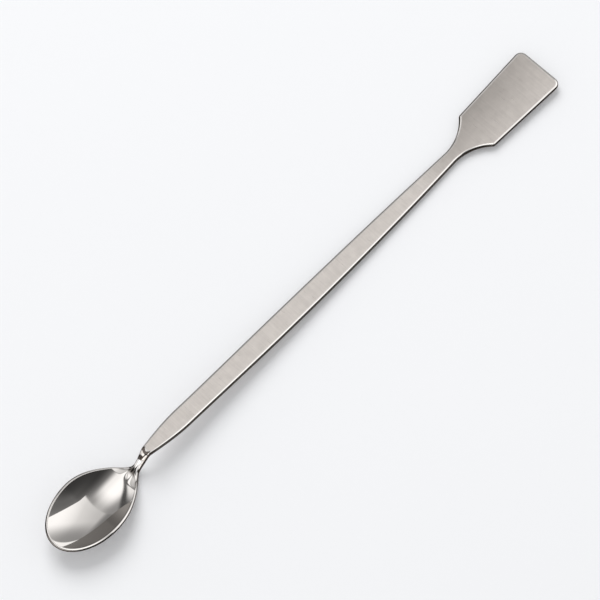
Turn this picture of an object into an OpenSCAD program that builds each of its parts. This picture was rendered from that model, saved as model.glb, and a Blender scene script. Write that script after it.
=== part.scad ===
// Lab spatula: a spoon bowl, a cranked neck, a slim bowed handle and a flat blade, in one piece of steel.
// It lies on the bowl's bottom and the handle's belly, on a table at height zero.
// Stations are distances along the length from the bowl's tip, and the finished part is centred on its length.

/* [Overall] */
// Length from the bowl's tip to the blade's tip
overall_length = 200; // [180:1:300]

/* [Bowl] */
// Width across the rim at the widest station
bowl_width = 19.7; // [14:0.1:26]
// From the bowl's tip to its widest and deepest station
bowl_tip_reach = 14.8; // [11:0.1:20]
// From the widest station to the point where the heel's sides would meet
bowl_heel_reach = 18.2; // [14:0.1:24]
// Height of the rim above the table, round the tip
bowl_height = 6.5; // [5:0.1:10]
// Thickness of the bowl's bottom
bowl_wall = 1.3; // [0.8:0.05:2]
// Width of the rounded rim, seen from above
rim_width = 0.8; // [0.5:0.05:1.2]
// Upright thickness of the rim
rim_thickness = 1; // [0.7:0.05:1.4]
// From the widest station to where the hollow starts to turn into the neck's crown
hollow_reach = 12.3; // [4:0.1:13]

/* [Neck] */
// From the point where the heel's sides would meet to the handle's flat face
neck_length = 3.8; // [3:0.1:10]
// Width of the neck at its narrowest
neck_width = 2.3; // [1.6:0.1:4]
// Upright thickness of the neck at its middle
neck_thickness = 2.6; // [1.8:0.1:3.5]
// Height of the neck's middle above its edges
neck_crown = 1; // [0:0.05:1.4]
// Width of the neck's rolled edges, seen from above
neck_round = 0.6; // [0.3:0.05:0.7]
// Softness of the inner corner between the heel and the neck
heel_fillet = 0.7; // [0.5:0.1:3]
// Share of the climb from the bowl to the handle that is even, and so rounds the bowl's floor
even_climb = 0.4; // [0:0.05:1]
// How late the rest of the climb comes: higher makes the neck steeper
late_climb = 9; // [2:0.5:12]

/* [Handle] */
// Height of the handle's top face above the table, at the neck
handle_rise = 7.8; // [6:0.1:12]
// Thickness of the handle
handle_thickness = 1.9; // [1.2:0.1:3]
// Length of the lancet-shaped end, from the neck to the full handle
lancet_length = 14.5; // [8:0.5:25]
// Width where the lancet ends
root_width = 6.1; // [4.5:0.1:9]
// Width at the widest station
middle_width = 6.6; // [4.5:0.1:10]
// From the handle's neck end to its widest station
middle_reach = 53; // [35:1:75]
// Width of the waist before the blade
waist_width = 4.1; // [3:0.1:6]
// How late the handle narrows towards the waist
taper_bend = 2.2; // [1.5:0.1:3]
// From the blade's tip back to the station where the handle's belly touches the table
belly_reach = 50; // [42:1:70]

/* [Blade] */
// Length from the shoulders to the tip
blade_length = 27.7; // [20:0.1:36]
// Width across the shoulders
shoulder_width = 13.8; // [10:0.1:20]
// Width at the tip
tip_width = 16; // [10:0.1:24]
// Thickness of the blade
blade_thickness = 1.4; // [1:0.1:2]
// Radius of the tip's corners
tip_corner = 2.2; // [1.4:0.1:4]
// Radius of the shoulders' corners, inside the rolled edge
shoulder_corner = 0.15; // [0.05:0.05:1]
// Angle that the flare's arc turns between the waist and a shoulder
flare_turn = 47; // [35:1:60]

/* [Edges] */
// Width of the handle's and the blade's rolled edges, seen from above
edge_round = 0.9; // [0.3:0.05:1.1]

/* [Hidden] */
steel = [0.72, 0.71, 0.69];

// Stations that the sizes above give
widest = bowl_tip_reach;
heel_point = widest + bowl_heel_reach;
heel = widest + bowl_heel_reach * sqrt(1 - neck_width / bowl_width);
handle_start = heel_point + neck_length;
lancet_end = handle_start + lancet_length;
middle = handle_start + middle_reach;
belly = overall_length - belly_reach;
shoulder = overall_length - blade_length;
flare_radius = (shoulder_width - waist_width) / 2 / (1 - cos(flare_turn));
waist = shoulder - flare_radius * sin(flare_turn);
blade_splay = atan((tip_width - shoulder_width) / 2 / blade_length);

// Depth of the hollow and half its width inside the rim, which fix the parabola across it
bowl_depth = bowl_height - bowl_wall;
hollow_half = bowl_width / 2 - rim_width;

// Steps along each stretch of the outline, across half a face and round a quarter of an edge
tip_steps = 11;
heel_steps = 14;
neck_steps = 7;
lancet_steps = 7;
swell_steps = 4;
taper_steps = 8;
flare_steps = 7;
shoulder_steps = 4;
blade_steps = 3;
corner_steps = 5;
across_steps = 6;
edge_steps = 3;

// Angle on the tip's ellipse where the outline starts, which leaves a narrow flat at the very tip
tip_start = 3.5;

function mix(a, b, share) = a + (b - a) * share;

// Share from 0 to 1 that starts and ends level
function ease(share) =
    let (s = max(0, min(1, share)))
    s * s * (3 - 2 * s);

// The larger of two sizes, with a soft corner where they cross
function soft_max(a, b, soft) = (a + b + sqrt(pow(a - b, 2) + soft * soft)) / 2;

// Half the width of the plan: heel and neck, then the swell of the handle, then its taper
function neck_half(x) =
    mix(neck_width, root_width, ease((x - heel_point) / (lancet_end - heel_point))) / 2;
function heel_half(x) =
    let (sides = bowl_width / 2 * (1 - pow((x - widest) / bowl_heel_reach, 2)))
    soft_max(sides, neck_half(x), heel_fillet * ease((x - widest) / (heel - widest)));
function swell_half(x) =
    mix(root_width, middle_width, ease((x - lancet_end) / (middle - lancet_end))) / 2;
function taper_half(x) =
    mix(middle_width, waist_width, pow((x - middle) / (waist - middle), taper_bend)) / 2;

// Evenly spaced stations, without the last
function stations(from, to, steps) = [for (i = [0 : steps - 1]) mix(from, to, i / steps)];

// Both corners are arcs set in from where the sides would meet
shoulder_arc = edge_round + shoulder_corner;
shoulder_cut = shoulder_arc * tan((flare_turn - blade_splay) / 2);
shoulder_centre = [
    shoulder - shoulder_cut * cos(flare_turn) + shoulder_arc * sin(flare_turn),
    shoulder_width / 2 - shoulder_cut * sin(flare_turn) - shoulder_arc * cos(flare_turn)
];
tip_centre = [
    overall_length - tip_corner,
    tip_width / 2 - tip_corner * (tan(blade_splay) + 1 / cos(blade_splay))
];
flare_end = flare_turn - 2 * asin(shoulder_cut / flare_radius);
blade_from = shoulder_centre + shoulder_arc * [-sin(blade_splay), cos(blade_splay)];
blade_to = tip_centre + tip_corner * [-sin(blade_splay), cos(blade_splay)];

// Half of the plan outline, as points [station, half width] from the bowl's tip to the blade's tip
outline = [
    for (turn = stations(tip_start, 90, tip_steps))
        [widest * (1 - cos(turn) / cos(tip_start)), bowl_width / 2 * sin(turn)],
    for (x = stations(widest, heel_point, heel_steps)) [x, heel_half(x)],
    for (x = stations(heel_point, handle_start, neck_steps)) [x, heel_half(x)],
    for (x = stations(handle_start, lancet_end, lancet_steps)) [x, heel_half(x)],
    for (x = stations(lancet_end, middle, swell_steps)) [x, swell_half(x)],
    for (x = stations(middle, waist, taper_steps)) [x, taper_half(x)],
    for (turn = stations(0, flare_end, flare_steps))
        [waist + flare_radius * sin(turn), waist_width / 2 + flare_radius * (1 - cos(turn))],
    for (turn = stations(flare_turn, blade_splay, shoulder_steps))
        shoulder_centre + shoulder_arc * [-sin(turn), cos(turn)],
    for (share = stations(0, 1, blade_steps)) mix(blade_from, blade_to, share),
    for (turn = stations(90 + blade_splay, 0, corner_steps))
        tip_centre + tip_corner * [cos(turn), sin(turn)],
    tip_centre + [tip_corner, 0]
];
last = len(outline) - 1;

// Outward normal of the outline at a point: straight ahead at the two tips
function outward(i) =
    i == 0 ? [-1, 0] :
    i == last ? [1, 0] :
    let (along = outline[i + 1] - outline[i - 1])
    [-along.y, along.x] / norm(along);

// Height of the handle's underside: a bow that touches the table at the belly, straight along the blade
bow = (handle_rise - handle_thickness) / pow(belly - handle_start, 2);
function lift(x) =
    x < shoulder ? bow * pow(x - belly, 2) :
    bow * (shoulder - belly) * (2 * x - shoulder - belly);

// Share of the bowl's depth at a station between its tip and its widest station
function tip_depth(x) = max(0, 1 - pow((widest - x) / (widest - rim_width), 2));

// How far the flare has thinned the strip towards the blade
function thinning(x) =
    (handle_thickness - blade_thickness) * ease((x - waist) / (shoulder - waist));

// Share of the climb from the bowl's floor to the handle
function climb(x) =
    let (share = max(0, (x - widest) / (handle_start - widest)))
    ease(mix(pow(share, late_climb), share, even_climb));

// Height of the top face along its middle: the bowl's floor, the climb of the heel and neck, the handle
function floor_height(x) =
    x < widest ? bowl_height - bowl_depth * tip_depth(x) :
    x < handle_start ? mix(bowl_wall, handle_rise, climb(x)) :
    handle_thickness + lift(x);

// Height of the top face along its edges: the same parabola stands on the floor at each station of the bowl,
// so the rim is level round the tip and dips where the heel draws in, and then the neck's edges lie lower
function crowning(x) = ease((x - widest - hollow_reach) / (heel - widest - hollow_reach));
function edge_height(x, half) =
    x < heel ?
        mix(bowl_depth * pow(half / hollow_half, 2), -neck_crown, crowning(x)) + floor_height(x) :
        floor_height(x) - neck_crown * (1 - ease((x - heel) / (handle_start - heel)));

// Upright thickness along the edges and along the middle
function edge_thickness(x) =
    mix(rim_thickness, handle_thickness, ease((x - widest) / (handle_start - widest))) - thinning(x);
function middle_thickness(x) =
    x < heel ? mix(bowl_wall, neck_thickness, climb(x) / climb(heel)) :
    mix(neck_thickness, handle_thickness, ease((x - heel) / (handle_start - heel))) - thinning(x);

// Height of the underside along its middle
function keel_height(x) =
    x < widest ? (bowl_height - rim_thickness) * (1 - tip_depth(x)) :
    max(0, floor_height(x) - middle_thickness(x));

// Width of the rounded edge, from the rim's to the neck's and on to the handle's
function edge_width(x) =
    x < heel ? mix(rim_width, neck_round, ease((x - widest) / (heel - widest))) :
    mix(neck_round, edge_round, ease((x - heel) / (lancet_end - heel)));

// One face of a section, from its left edge to its right edge
function face(x, half, edge, middle_level) = [
    for (j = [-across_steps : across_steps])
        let (share = sin(90 * j / across_steps))
        [x, half * share, mix(edge, middle_level, 1 - share * share)]
];

// One rounded edge of a section, from the top face to the underside, on the side that sign gives
function rounded_edge(point, normal, width, top, thickness, sign) = [
    for (j = [1 : 2 * edge_steps])
        let (
            upper = j <= edge_steps,
            turn = 90 * (upper ? j : 2 * edge_steps + 1 - j) / edge_steps,
            place = point - normal * width * (1 - sin(turn)),
            drop = min(edge_round, thickness / 2) * (1 - cos(turn))
        )
        [place.x, sign * place.y, upper ? top - drop : top - thickness + drop]
];

function reversed(list) = [for (j = [len(list) - 1 : -1 : 0]) list[j]];

// One closed section: top face to the right, right edge down, underside to the left, left edge up
function section(i) =
    let (
        point = outline[i],
        normal = outward(i),
        width = edge_width(point.x),
        inner = point - normal * width,
        thickness = edge_thickness(inner.x),
        top = max(thickness, edge_height(inner.x, inner.y))
    )
    concat(
        face(inner.x, inner.y, top, floor_height(inner.x)),
        rounded_edge(point, normal, width, top, thickness, 1),
        reversed(face(inner.x, inner.y, top - thickness, keel_height(inner.x))),
        reversed(rounded_edge(point, normal, width, top, thickness, -1))
    );

// Counts of points on a face, on an edge and round a whole section
face_points = 2 * across_steps + 1;
edge_points = 2 * edge_steps;
ring = 2 * (face_points + edge_points);

// Two triangles between neighbouring sections, at each point of the ring
side_triangles = [
    for (i = [0 : last - 1])
        for (j = [0 : ring - 1])
            let (
                here = i * ring,
                there = here + ring,
                next = (j + 1) % ring
            )
            each [[here + j, there + next, there + j], [here + j, here + next, there + next]]
];

// An end is closed by strips between its left and right edges, the outer two along its faces
function end_strips(start) =
    let (
        right = [for (j = [0 : edge_points - 1]) start + face_points + j],
        left = [for (j = [0 : edge_points - 1]) start + ring - 1 - j],
        top_row = [for (j = [0 : face_points - 1]) start + j],
        bottom_row = [for (j = [0 : face_points - 1]) start + face_points + edge_points + j]
    )
    [
        concat([left[0]], top_row, [right[0]]),
        for (j = [0 : edge_points - 2]) [left[j], right[j], right[j + 1], left[j + 1]],
        concat([right[edge_points - 1]], bottom_row, [left[edge_points - 1]])
    ];

module spatula() {
    color(steel)
        translate([-overall_length / 2, 0, 0])
            polyhedron(
                points = [for (i = [0 : last]) each section(i)],
                faces = concat(
                    side_triangles,
                    [for (strip = end_strips(0)) reversed(strip)],
                    end_strips(last * ring)
                ),
                convexity = 6
            );
}

spatula();
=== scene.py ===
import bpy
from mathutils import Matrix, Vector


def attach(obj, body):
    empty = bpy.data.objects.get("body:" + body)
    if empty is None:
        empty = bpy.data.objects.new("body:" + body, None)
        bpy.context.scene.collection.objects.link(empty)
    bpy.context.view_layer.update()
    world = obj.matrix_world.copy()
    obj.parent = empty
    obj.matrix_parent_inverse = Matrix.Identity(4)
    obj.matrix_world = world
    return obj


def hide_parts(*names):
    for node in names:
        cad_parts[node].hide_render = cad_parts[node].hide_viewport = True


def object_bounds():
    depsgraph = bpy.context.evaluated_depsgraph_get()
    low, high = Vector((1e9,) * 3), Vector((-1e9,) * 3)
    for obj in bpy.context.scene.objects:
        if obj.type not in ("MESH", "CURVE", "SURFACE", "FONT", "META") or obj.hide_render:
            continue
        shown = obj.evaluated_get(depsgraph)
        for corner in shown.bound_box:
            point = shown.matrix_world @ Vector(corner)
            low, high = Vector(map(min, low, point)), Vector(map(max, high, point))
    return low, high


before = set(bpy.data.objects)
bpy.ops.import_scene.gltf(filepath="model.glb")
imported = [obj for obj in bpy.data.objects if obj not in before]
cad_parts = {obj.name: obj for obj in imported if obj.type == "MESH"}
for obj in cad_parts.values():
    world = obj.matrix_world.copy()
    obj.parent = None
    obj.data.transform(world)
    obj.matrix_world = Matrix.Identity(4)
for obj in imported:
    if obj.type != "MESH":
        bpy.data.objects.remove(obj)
cad_box = [list(corner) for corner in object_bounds()]

import bmesh
import bpy
import numpy as np
from mathutils import Vector

# Spatula body. One strip of stainless steel: a spoon bowl pressed at one end, a neck cranked up to a
# bowed handle, and the far end forged out into a flat blade. It is a loft of closed sections, each
# one set across the strip at a point of the plan outline.

# Sizes in millimetres. Stations count from the bowl's tip, and left and right are as seen from there.
mm = 0.001
overall_length = 200.0
bowl_width, bowl_tip_reach, bowl_heel_reach = 19.7, 14.8, 18.2
bowl_height, bowl_wall, hollow_reach = 6.5, 1.3, 12.3
rim_width, rim_thickness = 0.8, 1.0
neck_length, neck_width, neck_thickness, neck_crown, neck_round = 3.8, 2.3, 2.6, 1.0, 0.6
heel_fillet, even_climb, late_climb = 0.7, 0.4, 9.0
handle_rise, handle_thickness, lancet_length, swell_bend = 7.8, 1.9, 14.5, 0.72
root_width, middle_width, middle_reach = 6.1, 6.6, 53.0
waist_width, taper_bend, belly_reach = 4.1, 2.2, 50.0
blade_length, shoulder_width, tip_width, blade_thickness = 27.7, 13.8, 16.0, 1.4
tip_corner, inner_corner, flare_turn = 2.2, 0.15, np.radians(47.0)
edge_round = 0.9

widest = bowl_tip_reach
heel_point = widest + bowl_heel_reach
heel = widest + bowl_heel_reach * np.sqrt(1 - neck_width / bowl_width)
handle_start = heel_point + neck_length
lancet_end = handle_start + lancet_length
middle = handle_start + middle_reach
belly = overall_length - belly_reach
shoulder = overall_length - blade_length
shoulder_corner = edge_round + inner_corner
flare_radius = (shoulder_width - waist_width) / 2 / (1 - np.cos(flare_turn))
waist = shoulder - flare_radius * np.sin(flare_turn)
blade_splay = np.arctan((tip_width - shoulder_width) / 2 / blade_length)
bowl_depth, hollow_half = bowl_height - bowl_wall, bowl_width / 2 - rim_width
bow = (handle_rise - handle_thickness) / (belly - handle_start) ** 2


def mix(a, b, share):
    """Straight blend: a at share 0, b at share 1."""
    return a + (b - a) * share


def ease(share):
    """Share held between 0 and 1, then three times its square less twice its cube: both ends are level."""
    s = np.clip(share, 0, 1)
    return s * s * (3 - 2 * s)


def heel_half(x):
    """Half width from the bowl to the lancet: a parabola that closes the heel, joined to the swell of the
    neck, which is the ease of a power of the share of its length. The join is the soft maximum of the two,
    half of (a + b + root of ((a - b) squared + soft squared))."""
    sides = bowl_width / 2 * (1 - ((x - widest) / bowl_heel_reach) ** 2)
    share = np.clip((x - heel_point) / (lancet_end - heel_point), 0, 1)
    neck = mix(neck_width, root_width, ease(share ** swell_bend)) / 2
    soft = heel_fillet * ease((x - widest) / (heel - widest))
    return (sides + neck + np.sqrt((sides - neck) ** 2 + soft ** 2)) / 2


def plan_outline():
    """Half of the plan, as points of station and half width: an ellipse round the bowl's tip, started just
    off its point, the heel, neck and lancet, the eased swell, the power-curve taper, the flare's arc, the
    shoulder's arc, the blade's straight side and the arc of its corner."""
    def spread(start, end, steps):
        return np.linspace(start, end, steps, endpoint=False)

    tip_start = np.radians(0.6)
    tip_steps, heel_steps, neck_steps, lancet_steps, swell_steps = 60, 72, 40, 30, 20
    taper_steps, flare_steps, shoulder_steps, side_steps, corner_steps = 34, 24, 10, 20, 12
    turn = spread(tip_start, np.pi / 2, tip_steps)
    bowl = np.stack([widest * (1 - np.cos(turn) / np.cos(tip_start)), bowl_width / 2 * np.sin(turn)], 1)
    x = np.concatenate([
        spread(widest, heel_point, heel_steps),
        spread(heel_point, handle_start, neck_steps),
        spread(handle_start, lancet_end, lancet_steps)])
    neck = np.stack([x, heel_half(x)], 1)
    x = spread(lancet_end, middle, swell_steps)
    share = (x - lancet_end) / (middle - lancet_end)
    swell = np.stack([x, mix(root_width, middle_width, ease(share)) / 2], 1)
    x = spread(middle, waist, taper_steps)
    share = (x - middle) / (waist - middle)
    taper = np.stack([x, mix(middle_width, waist_width, share ** taper_bend) / 2], 1)
    cut = shoulder_corner * np.tan((flare_turn - blade_splay) / 2)
    shoulder_centre = np.array([
        shoulder - cut * np.cos(flare_turn) + shoulder_corner * np.sin(flare_turn),
        shoulder_width / 2 - cut * np.sin(flare_turn) - shoulder_corner * np.cos(flare_turn)])
    corner_centre = np.array([
        overall_length - tip_corner,
        tip_width / 2 - tip_corner * (np.tan(blade_splay) + 1 / np.cos(blade_splay))])
    turn = spread(0, flare_turn - 2 * np.arcsin(cut / flare_radius), flare_steps)
    flare_centre = np.array([waist, waist_width / 2 + flare_radius])
    flare = flare_centre + flare_radius * np.stack([np.sin(turn), -np.cos(turn)], 1)
    turn = spread(flare_turn, blade_splay, shoulder_steps)
    shoulder_arc = shoulder_centre + shoulder_corner * np.stack([-np.sin(turn), np.cos(turn)], 1)
    square = np.array([-np.sin(blade_splay), np.cos(blade_splay)])
    side = mix(shoulder_centre + shoulder_corner * square, corner_centre + tip_corner * square,
               spread(0, 1, side_steps)[:, None])
    turn = np.linspace(np.pi / 2 + blade_splay, 0, corner_steps + 1)
    corner = corner_centre + tip_corner * np.stack([np.cos(turn), np.sin(turn)], 1)
    return np.concatenate([bowl, neck, swell, taper, flare, shoulder_arc, side, corner])


def tip_depth(x):
    """Share of the bowl's depth ahead of its widest station, a parabola."""
    return np.maximum(0, 1 - ((widest - x) / (widest - rim_width)) ** 2)


def thinning(x):
    """How far the forged flare has thinned the strip, eased from the waist to the shoulders."""
    return (handle_thickness - blade_thickness) * ease((x - waist) / (shoulder - waist))


def climb(x):
    """Share of the climb from bowl to handle: the ease of an even part mixed with a late power curve."""
    share = np.clip((x - widest) / (handle_start - widest), 0, 1)
    return ease(mix(share ** late_climb, share, even_climb))


def floor_height(x):
    """Height of the upper face along its middle: the bowl's parabola, the climb, then a bow, which rises
    with the square of the distance from the belly, where the handle touches the table. The blade runs on
    straight."""
    bowed = bow * (x - belly) ** 2
    straight = bow * (shoulder - belly) * (2 * x - shoulder - belly)
    handle = handle_thickness + np.where(x < shoulder, bowed, straight)
    neck = mix(bowl_wall, handle_rise, climb(x))
    bowl = bowl_height - bowl_depth * tip_depth(x)
    return np.where(x < widest, bowl, np.where(x < handle_start, neck, handle))


def edge_height(x, half):
    """Height of the upper face along its edges: the same parabola stands on the floor at each station of
    the bowl, so the rim dips where the heel draws in, and the neck's edges lie lower than its middle."""
    crowning = ease((x - widest - hollow_reach) / (heel - widest - hollow_reach))
    hollow = mix(bowl_depth * (half / hollow_half) ** 2, -neck_crown, crowning)
    crown = neck_crown * (1 - ease((x - heel) / (handle_start - heel)))
    return floor_height(x) + np.where(x < heel, hollow, -crown)


def keel_height(x):
    """Height of the underside along its middle: a parabola under the bowl's tip, then the upper face less
    the strip's thickness, and never below the table."""
    before = mix(bowl_wall, neck_thickness, climb(x) / climb(heel))
    after = mix(neck_thickness, handle_thickness, ease((x - heel) / (handle_start - heel))) - thinning(x)
    return np.where(x < widest, (bowl_height - rim_thickness) * (1 - tip_depth(x)),
                    np.maximum(0, floor_height(x) - np.where(x < heel, before, after)))


def face_shares(across):
    """Shares of the half width across a face, from -1 to 1: the sine of an even turn, so that points
    crowd towards the edges."""
    return np.sin(np.pi / 2 * np.linspace(-1, 1, 2 * across + 1))


def body_sections(across, round_steps):
    """Rows of closed sections, one for each point of the outline. Across a face the height goes from the
    edge to the middle by 1 less the square of the share. Each edge is a quarter ellipse down from the upper
    face and another up from the underside, pushed out along the outline's normal. A section runs from right
    to left over the upper face, down the left edge, back under the strip and up the right edge."""
    point = plan_outline()
    along = np.concatenate([[[0, 1]], point[2:] - point[:-2], [[0, -1]]])
    normal = np.stack([-along[:, 1], along[:, 0]], 1) / np.linalg.norm(along, axis=1)[:, None]
    station = point[:, :1]
    width = mix(rim_width, neck_round, ease((station - widest) / (heel - widest)))
    width = mix(width, edge_round, ease((station - heel) / (lancet_end - heel)))
    inner = point - normal * width
    x = inner[:, :1]
    thick = mix(rim_thickness, handle_thickness, ease((x - widest) / (handle_start - widest))) - thinning(x)
    top = np.maximum(thick, edge_height(x, inner[:, 1:]))
    share = face_shares(across)[None, :]
    fill = 1 - share ** 2
    flat = [x + 0 * share, inner[:, 1:] * share]
    upper = np.stack(flat + [mix(top, floor_height(x), fill)], 2)
    under = np.stack(flat + [mix(top - thick, keel_height(x), fill)], 2)[:, ::-1]
    turn = np.pi / 2 * np.arange(1, round_steps + 1) / round_steps
    turn = np.concatenate([turn, turn[::-1]])[None, :]
    place = point[:, None, :] - normal[:, None, :] * (width * (1 - np.sin(turn)))[:, :, None]
    drop = np.minimum(edge_round, thick / 2) * (1 - np.cos(turn))
    falls = np.arange(2 * round_steps)[None, :] < round_steps
    left = np.concatenate([place, np.where(falls, top - drop, top - thick + drop)[:, :, None]], 2)
    right = (left * [1, -1, 1])[:, ::-1]
    return np.concatenate([upper, left, under, right], 1)


def end_grid(last, across, round_steps):
    """Grid that closes the blade's end or the bowl's tip: each row runs straight from a right edge point to
    the left one, with the same shares as a face, from the upper face's row down to the underside's."""
    face, edge = 2 * across + 1, 2 * round_steps
    left = last[face:face + edge]
    share = face_shares(across)[None, :, None]
    rows = left[:, None, :] * [1, 0, 1] + left[:, None, :] * [0, 1, 0] * share
    return np.concatenate([last[None, :face], rows, last[None, face + edge:2 * face + edge][:, ::-1]])


def grid_quads(rows, columns, first, closed):
    """Corner numbers of the quads of a grid of points, stored row by row from the given first number: a
    point, the one in the next row, and the same two in the next column."""
    i, j = np.meshgrid(np.arange(rows - 1), np.arange(columns if closed else columns - 1), indexing="ij")
    k = (j + 1) % columns
    corners = [i * columns + j, (i + 1) * columns + j, (i + 1) * columns + k, i * columns + k]
    return first + np.stack(corners, 2).reshape(-1, 4)


across, round_steps = 28, 6
face, edge = 2 * across + 1, 2 * round_steps
sections = body_sections(across, round_steps)
count, ring = sections.shape[:2]
ends = [end_grid(sections[i], across, round_steps) for i in (-1, 0)]
points = np.concatenate([sections.reshape(-1, 3)] + [end.reshape(-1, 3) for end in ends])
points[:, 2] = np.clip(points[:, 2], cad_box[0][2] / mm, cad_box[1][2] / mm)
quads = np.concatenate([
    grid_quads(count, ring, 0, True),
    grid_quads(edge + 2, face, count * ring, False),
    grid_quads(edge + 2, face, count * ring + (edge + 2) * face, False)])
body_mesh = bpy.data.meshes.new("spatula_body")
body_mesh.from_pydata(((points - [overall_length / 2, 0, 0]) * mm).tolist(), [], quads.tolist())


def keep_values(name, values):
    """Stores one number for each point of the body's mesh, as a named attribute."""
    layer = body_mesh.attributes.new(name, "FLOAT", "POINT")
    layer.data.foreach_set("value", values.astype(np.float32))


# Brushed is 1 on the satin faces of handle and blade, and 0 on the polished bowl, neck and edges.
brush_curve, brush_blend = 0.9, 0.25
x, y = sections[:, :face, 0], sections[:, :face, 1]
share = face_shares(across)
satin_face = ease((x - handle_start - brush_curve * share ** 2) / brush_blend)
polished_edge = np.zeros((count, edge))
brushed = np.concatenate([satin_face, polished_edge, satin_face, polished_edge], 1)
blade_brushed = np.zeros((edge + 2, face))
blade_brushed[[0, -1]] = 1
bowl_brushed = np.zeros((edge + 2, face))
keep_values("brushed", np.concatenate([brushed.ravel(), blade_brushed.ravel(), bowl_brushed.ravel()]))

# This attribute holds painted light and shade in the steel's colour: 1 is painted dark, 0 is bare, and
# below 0 is a painted highlight, brighter than bare.
# A painted highlight lifts the steel to this value.
painted_highlight = -0.4
# Width, rise and fall of the painted dark reflection lines on the neck.
line_width, line_rise, line_fall = 0.2, 1, 0.5
from_heel = x - heel_point


def band(value, start, end, rise, fall):
    """Share that eases in over the rise after start, and out over the fall before end."""
    return ease((value - start) / rise) * ease((end - value) / fall)


def beside_line(station, place, slope):
    """Distance across to the left of a straight line in plan, along which a painted reflection runs. The
    line has a slope and goes through one point, given by its station from the heel's point and its place
    across."""
    return y - place - slope * (from_heel - station)


def reflected_line(beside, start, end):
    """Bell curve of the distance beside a line, eased in and out at two stations from the heel's point: a
    painted dark reflection along the line.
    """
    return np.exp(-(beside / line_width) ** 2) * band(from_heel, start, end, line_rise, line_fall)


# The blade has painted shade from ahead of its waist, most on its left, and less of it towards its end.
painted_blade_lead, painted_blade_rise, painted_blade_right, painted_blade_left, painted_blade_end, clear_start = 15, 17, 0.1, 0.46, 0.6, 0.3
blade_painted_shade = ease((x - waist + painted_blade_lead) / painted_blade_rise) * mix(painted_blade_right, painted_blade_left, ease(0.5 + y / tip_width))
blade_painted_shade = blade_painted_shade * mix(1, painted_blade_end, ease((x - shoulder) / blade_length - clear_start))

# The neck has a painted highlight and a dark line under the handle's face. Painted dark reflections lie on
# it too: a spot below the line, and a throat at its foot between two lines across the heel.
under_lead, under_lead_curve, under_gap, under_gap_curve, under_blend = 1.25, 0.3, 0.25, 0.8, 0.25
under_start = handle_start - under_lead + under_lead_curve * share ** 2
under_end = handle_start - under_gap + under_gap_curve * share ** 2
under_line = band(x, under_start, under_end, under_blend, under_blend)
spot_start, spot_end, spot_blend, spot_right, spot_side_blend = 0.95, 2.25, 0.25, -0.45, 0.3
reflected_spot = band(from_heel, spot_start, spot_end, spot_blend, spot_blend) * ease((y - spot_right) / spot_side_blend)
left_line = beside_line(station=-2.8, place=0.9, slope=0.625)
right_line = beside_line(station=-1.7, place=-0.4, slope=0.94)
reflected_lines = reflected_line(left_line, start=-5.6, end=-2) + reflected_line(right_line, start=-4, end=-1.5)
throat_reach, throat_start, throat_rise, throat_blend = 1.1, -3.7, 1.2, 0.4
throat = ease(0.5 - left_line / throat_blend) * ease(0.5 + right_line / throat_blend)
throat = throat * ease((from_heel - throat_start) / throat_rise)
throat = throat * ease((y - from_heel - throat_reach) / throat_blend)
under_darkness, throat_darkness, line_darkness = 0.95, 0.9, 0.6
painted_neck_light = np.maximum.reduce([under_darkness * under_line, reflected_spot, throat_darkness * throat, line_darkness * reflected_lines])
bright_lead, bright_gap, bright_rise, bright_fall = 1.6, 0.5, 0.8, 0.3
neck_highlight = band(x, heel_point - bright_lead, handle_start - bright_gap, bright_rise, bright_fall)
painted_neck_light = mix(painted_highlight * neck_highlight, 1, painted_neck_light)

# A thin dark line, a painted reflection, runs inside the right rim of the bowl.
lip_darkness, lip_share, lip_blend = 0.5, 0.96, 0.02
lip_start, lip_gap, lip_rise, lip_fall = 2, 5, 4, 3
lip = lip_darkness * ease((-share - lip_share) / lip_blend)
lip = lip * band(x, lip_start, heel_point - lip_gap, lip_rise, lip_fall)

# The edges carry a painted dark reflection where they turn over, in steps from the upper face to the
# underside. The right edge has a painted highlight along its top, but a painted dark reflection at the
# neck, and the neck's painted marks run on over the top of the left one.
edge_reflection = np.array([0, 0.1, 0.85, 1, 1, 1, 1, 1, 0.5, 0, 0, 0])
top_steps, top_rise = 3, 2
edge_highlight = edge_reflection.copy()
edge_highlight[:top_steps] = painted_highlight, painted_highlight, 0.75
neck_edge_reflection = np.zeros(edge)
neck_edge_reflection[:top_steps] = 0.3, 1.4, 0.5
neck_lead, neck_lap, neck_rise, neck_fall = 5, 3, 2, 3
station = x[:, :1]
at_neck = band(station, heel_point - neck_lead, handle_start + neck_lap, neck_rise, neck_fall)
left_edge = np.maximum(edge_reflection, np.maximum(0, painted_neck_light[:, -1:]) * (np.arange(edge) < top_steps))
right_edge = np.minimum(1, mix(edge_reflection, edge_highlight, ease(station / top_rise)) + at_neck * neck_edge_reflection)
painted_light = np.concatenate([blade_painted_shade + painted_neck_light + lip, left_edge, 0 * x, right_edge[:, ::-1]], 1)
# The end grids carry the same painted edge reflection, and the blade end's top row carries the blade's
# painted shade.
bowl_shade = np.repeat(np.concatenate([[0], edge_reflection, [0]])[:, None], face, 1)
blade_shade = bowl_shade.copy()
blade_shade[0] = blade_painted_shade[-1]
keep_values("painted_light", np.concatenate([painted_light.ravel(), blade_shade.ravel(), bowl_shade.ravel()]))

weld_gap = 0.0001 * mm
shape = bmesh.new()
shape.from_mesh(body_mesh)
bmesh.ops.remove_doubles(shape, verts=shape.verts, dist=weld_gap)
bmesh.ops.recalc_face_normals(shape, faces=shape.faces)
shape.to_mesh(body_mesh)
shape.free()
body_mesh.polygons.foreach_set("use_smooth", np.ones(len(body_mesh.polygons), bool))
body = bpy.data.objects.new("spatula_body", body_mesh)
bpy.context.scene.collection.objects.link(body)


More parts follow.
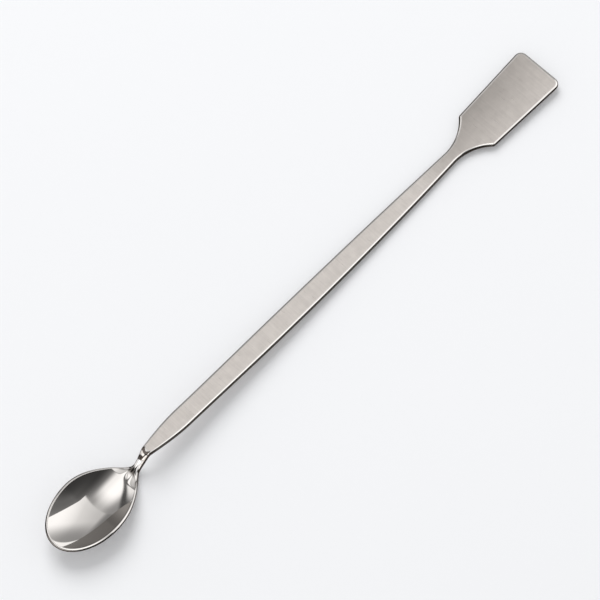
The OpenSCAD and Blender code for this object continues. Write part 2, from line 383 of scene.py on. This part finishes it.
def node(tree, kind, sockets=None, **settings):
    """Adds a node to a tree: settings go on the node, and each socket takes a value or a link."""
    made = tree.nodes.new(kind)
    for name, value in settings.items():
        setattr(made, name, value)
    for name, value in (sockets or {}).items():
        if isinstance(value, bpy.types.NodeSocket):
            tree.links.new(value, made.inputs[name])
        else:
            made.inputs[name].default_value = value
    return made


def noise_node(tree, place, scale, detail, roughness):
    """Noise between 0 and 1 at a place times a scale, with finer octaves added by detail and roughness."""
    sockets = {"Vector": place, "Scale": scale, "Detail": detail, "Roughness": roughness}
    return node(tree, "ShaderNodeTexNoise", sockets).outputs["Fac"]


def mix_node(tree, kind, factor, first, second, **settings):
    """Blend of two numbers or colours: the first at factor 0, the second at factor 1."""
    sockets = {"Factor": factor, "A": first, "B": second}
    return node(tree, "ShaderNodeMix", sockets, data_type=kind, **settings).outputs["Result"]


def range_node(tree, value, start, end, low, high, **settings):
    """Ramp of a value: low up to start, high from end on, and straight between unless settings say how."""
    sockets = {"Value": value, "From Min": start, "From Max": end, "To Min": low, "To Max": high}
    return node(tree, "ShaderNodeMapRange", sockets, **settings).outputs["Result"]


def math_node(tree, operation, first, second):
    """Sum, difference or product of two numbers."""
    return node(tree, "ShaderNodeMath", {0: first, 1: second}, operation=operation).outputs["Value"]


# Fine lines and broad streaks lie across the strip on the brushed faces. A mottle clouds their tone, and
# varies the polish.
line_scale, streak_scale, mottle_scale = (7000, 260, 260), (1900, 120, 120), 420
streak_share, cloud_share = 0.45, 0.5
noise_low, noise_high, cloud_low, cloud_high = 0.3, 0.7, 0.35, 0.65
satin_smooth, satin_rough, polish_smooth, polish_rough = 0.26, 0.4, 0.025, 0.05
deep_satin, pale_satin = (0.675, 0.629, 0.592, 1), (0.775, 0.724, 0.681, 1)
# The near-black colour is painted shade and painted reflection, drawn in where the painted light attribute
# is 1.
polish_colour, painted_dark_colour = (0.722, 0.694, 0.668, 1), (0.055, 0.043, 0.035, 1)
bump_strength, bump_depth = 0.25, 0.02 * mm
steel = bpy.data.materials.new("steel")
steel.use_nodes = True
tree = steel.node_tree
shader = tree.nodes["Principled BSDF"]
shader.inputs["Metallic"].default_value = 1
place = node(tree, "ShaderNodeTexCoord").outputs["Object"]
finish = node(tree, "ShaderNodeAttribute", attribute_name="brushed").outputs["Fac"]
painted_light_factor = node(tree, "ShaderNodeAttribute", attribute_name="painted_light").outputs["Fac"]
lines = node(tree, "ShaderNodeMapping", {"Vector": place, "Scale": line_scale}).outputs["Vector"]
streaks = node(tree, "ShaderNodeMapping", {"Vector": place, "Scale": streak_scale}).outputs["Vector"]
fine = noise_node(tree, lines, scale=1, detail=2, roughness=0.6)
broad = noise_node(tree, streaks, scale=1, detail=3, roughness=0.6)
mottle = noise_node(tree, place, scale=mottle_scale, detail=3, roughness=0.55)
grain = mix_node(tree, "FLOAT", streak_share, fine, broad)
satin = range_node(tree, grain, noise_low, noise_high, satin_smooth, satin_rough)
polish = range_node(tree, mottle, noise_low, noise_high, polish_smooth, polish_rough)
tree.links.new(mix_node(tree, "FLOAT", finish, polish, satin), shader.inputs["Roughness"])
cloud = mix_node(tree, "FLOAT", cloud_share, mottle, broad)
tone = range_node(tree, cloud, cloud_low, cloud_high, 0, 1)
satin_colour = mix_node(tree, "RGBA", tone, deep_satin, pale_satin)
bare_colour = mix_node(tree, "RGBA", finish, polish_colour, satin_colour)
# Painted light darkens the bare colour towards the painted dark, and lightens it past bare below 0.
colour = mix_node(tree, "RGBA", painted_light_factor, bare_colour, painted_dark_colour, clamp_factor=False)
tree.links.new(colour, shader.inputs["Base Color"])
height = math_node(tree, "MULTIPLY", grain, finish)
bump = node(tree, "ShaderNodeBump", {"Height": height, "Strength": bump_strength, "Distance": bump_depth})
tree.links.new(bump.outputs["Normal"], shader.inputs["Normal"])
body_mesh.materials.append(steel)
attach(body, "root")
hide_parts("spatula")

# Table. A wide board of matt, pale card that the spatula lies on loose, level with the lowest points of
# the bowl and the handle. Its tone drifts a little, as card does.
table_reach = 12.0
cloud_scale, cloud_detail, cloud_roughness = 9, 2, 0.5
deep_card, pale_card = (0.885, 0.893, 0.91, 1), (0.9, 0.908, 0.925, 1)
corners = np.array([(-1, -1, 0), (1, -1, 0), (1, 1, 0), (-1, 1, 0)]) * table_reach
table_mesh = bpy.data.meshes.new("table")
table_mesh.from_pydata(corners.tolist(), [], [(0, 1, 2, 3)])
table = bpy.data.objects.new("table", table_mesh)
bpy.context.scene.collection.objects.link(table)
card = bpy.data.materials.new("pale_board")
card.use_nodes = True
tree = card.node_tree
shader = tree.nodes["Principled BSDF"]
shader.inputs["Roughness"].default_value = 0.9
shader.inputs["Specular IOR Level"].default_value = 0.1
place = node(tree, "ShaderNodeTexCoord").outputs["Object"]
cloud = noise_node(tree, place, cloud_scale, cloud_detail, cloud_roughness)
tree.links.new(mix_node(tree, "RGBA", cloud, deep_card, pale_card), shader.inputs["Base Color"])
table_mesh.materials.append(card)

# Studio. Two wide cloth panels hang over the table with a dim wall in the gap between them, a third stands
# past the bowl's tip and a low strip lies at the back. The polished steel mirrors these, the table gets an
# even fill instead, and a soft round key lamp past the top of the picture casts the shadow.

# Right and back are as the camera sees them, and along and side are as the spatula lies.
azimuth, elevation = np.radians(-46.9026), np.radians(68.0)
right = np.array([np.cos(azimuth), np.sin(azimuth), 0])
back = np.array([-np.sin(azimuth), np.cos(azimuth), 0])
zenith = np.array([0, 0, 1.0])
along, side = (1, 0, 0), (0, 1, 0)
near_edge = -0.208 * right + 0.801 * back + 0.561 * zenith
far_edge = 0.29 * right + 0.957 * back
strut = (0.983, -0.14, 0.118)
second_low, second_high, second_loss = 1.2, 1.8, 0.68
table_fill, camera_backdrop = 0.62, 0.9
world = bpy.data.worlds.new("studio")
bpy.context.scene.world = world
world.use_nodes = True
tree = world.node_tree
direction = node(tree, "ShaderNodeTexCoord").outputs["Generated"]
path = node(tree, "ShaderNodeLightPath").outputs


def ramp(axis, start, end, low, high, form="SMOOTHSTEP"):
    """Ramp of the direction's part along an axis, their dot product: low up to start, high from end on."""
    sockets = {0: direction, 1: tuple(axis)}
    part = node(tree, "ShaderNodeVectorMath", sockets, operation="DOT_PRODUCT").outputs["Value"]
    return range_node(tree, part, start, end, low, high, interpolation_type=form)


def times(*factors):
    """Product of several sockets."""
    made = factors[0]
    for factor in factors[1:]:
        made = math_node(tree, "MULTIPLY", made, factor)
    return made


def plus(*parts):
    """Sum of several sockets."""
    made = parts[0]
    for part in parts[1:]:
        made = math_node(tree, "ADD", made, part)
    return made


# The panel towards the blade has two sharp edges, brightens to the camera's right, and dims at its far
# edge and at one side.
blade_panel_area = times(ramp(along, 0.146, 0.156, 0, 1), ramp(near_edge, -0.01, 0.01, 0, 1))
blade_panel_left = ramp(right, -0.5, 0.4, 0.67, 0.94, "LINEAR")
blade_panel_right = ramp(right, 0.4, 0.9, 0, 0.46, "LINEAR")
blade_panel_fade = times(ramp(far_edge, 0.56, 0.97, 1, 0.42), ramp(side, 0.76, 0.94, 1, 0.4))
blade_panel = times(plus(blade_panel_left, blade_panel_right), blade_panel_fade)

# The panel towards the bowl is a narrow and a wide leaf, parted by a thin dark strut.
bowl_panel_area = times(ramp(along, 0.03, 0.14, 1, 0), ramp(side, -0.6, -0.25, 0, 1))
narrow_leaf = times(ramp(strut, -0.002, 0.022, 0, 0.85), ramp(side, 0.66, 0.97, 1, 0.28))
wide_leaf = plus(ramp(strut, -0.035, -0.015, 0.8, 0), ramp(strut, -0.24, -0.18, -0.8, 0))
bowl_panel = times(bowl_panel_area, plus(narrow_leaf, wide_leaf))

# The wall behind them brightens from the spatula's right to its left, falls off again at the far left,
# and is dim at the strut and past the wide leaf.
wall_foot = times(ramp(along, 0.05, 0.3, 0, 0.12), ramp(side, -0.98, -0.84, 0, 1))
wall_rise = plus(ramp(side, -0.85, -0.3, 0.05, 0.4), ramp(side, -0.3, 0.2, 0, 0.22))
wall_fall = ramp(side, 0.45, 0.95, 0, -0.3)
wall_strut = plus(ramp(strut, -0.045, -0.025, 1, 0.3), ramp(strut, -0.004, 0.02, 0, 0.7))
wall = times(plus(wall_foot, wall_rise, wall_fall), ramp(strut, -0.26, -0.2, 0.2, 1), wall_strut)

# The panel past the bowl's tip shows in the neck, and the low strip at the back has two lengths.
neck_panel = ramp(along, -0.65, -0.5, 1.4, 0)
strip_area = times(ramp(zenith, 0.12, 0.16, 0.9, 0), ramp(back, 0.6, 0.7, 0, 1), ramp(side, 0, 0.1, 0, 1))
right_length = ramp(right, -0.2, 0, 0, 1)
left_length = times(ramp(along, 0.14, 0.18, 0, 1), ramp(right, -0.62, -0.54, 0.5, 0))
strip = times(strip_area, plus(right_length, left_length))
panels = mix_node(tree, "FLOAT", blade_panel_area, plus(wall, bowl_panel, neck_panel), blade_panel)

# Light that the steel mirrors twice loses a part, apart from the panel past the bowl's tip.
second_mirror = range_node(tree, path["Glossy Depth"], second_low, second_high, 0, second_loss)
loss = times(second_mirror, ramp(along, -0.25, -0.05, 0, 1))
mirrored = times(plus(panels, strip), math_node(tree, "SUBTRACT", 1, loss))
fill = mix_node(tree, "FLOAT", path["Is Diffuse Ray"], mirrored, table_fill)
light = mix_node(tree, "FLOAT", path["Is Camera Ray"], fill, camera_backdrop)
surround = tree.nodes["Background"]
surround.inputs["Color"].default_value = (1, 1, 1, 1)
tree.links.new(light, surround.inputs["Strength"])

key_size, key_energy, key_reach, key_lean = 2.0, 38, 2.5, np.radians(43)
key_heading = 0.95 * back - 0.3 * right
key_direction = np.sin(key_lean) * key_heading + np.cos(key_lean) * zenith
key = bpy.data.objects.new("key", bpy.data.lights.new("key", "AREA"))
key.data.shape = "DISK"
key.data.size = key_size
key.data.energy = key_energy
key.location = key_direction * key_reach
key.rotation_mode = "QUATERNION"
key.rotation_quaternion = Vector(key_direction).to_track_quat("Z", "Y")
key.visible_glossy = False
bpy.context.scene.collection.objects.link(key)
bpy.context.scene.view_settings.view_transform = "Standard"

# Camera. A long lens, a metre from the middle of the spatula, looks down on it at 68 degrees. It stands
# so that the bowl lies at the lower left of the picture and the blade at the upper right.
lens_length, film_width, camera_reach = 214.01, 36, 1.0
aim_point = Vector((-0.6932, 0.8872, 3.0524)) * mm
towards = Vector(np.sin(elevation) * zenith - np.cos(elevation) * back)
camera = bpy.data.objects.new("camera", bpy.data.cameras.new("camera"))
camera.data.sensor_width = film_width
camera.data.lens = lens_length
camera.location = aim_point + towards * camera_reach
camera.rotation_mode = "QUATERNION"
camera.rotation_quaternion = towards.to_track_quat("Z", "Y")
bpy.context.scene.collection.objects.link(camera)
bpy.context.scene.camera = camera
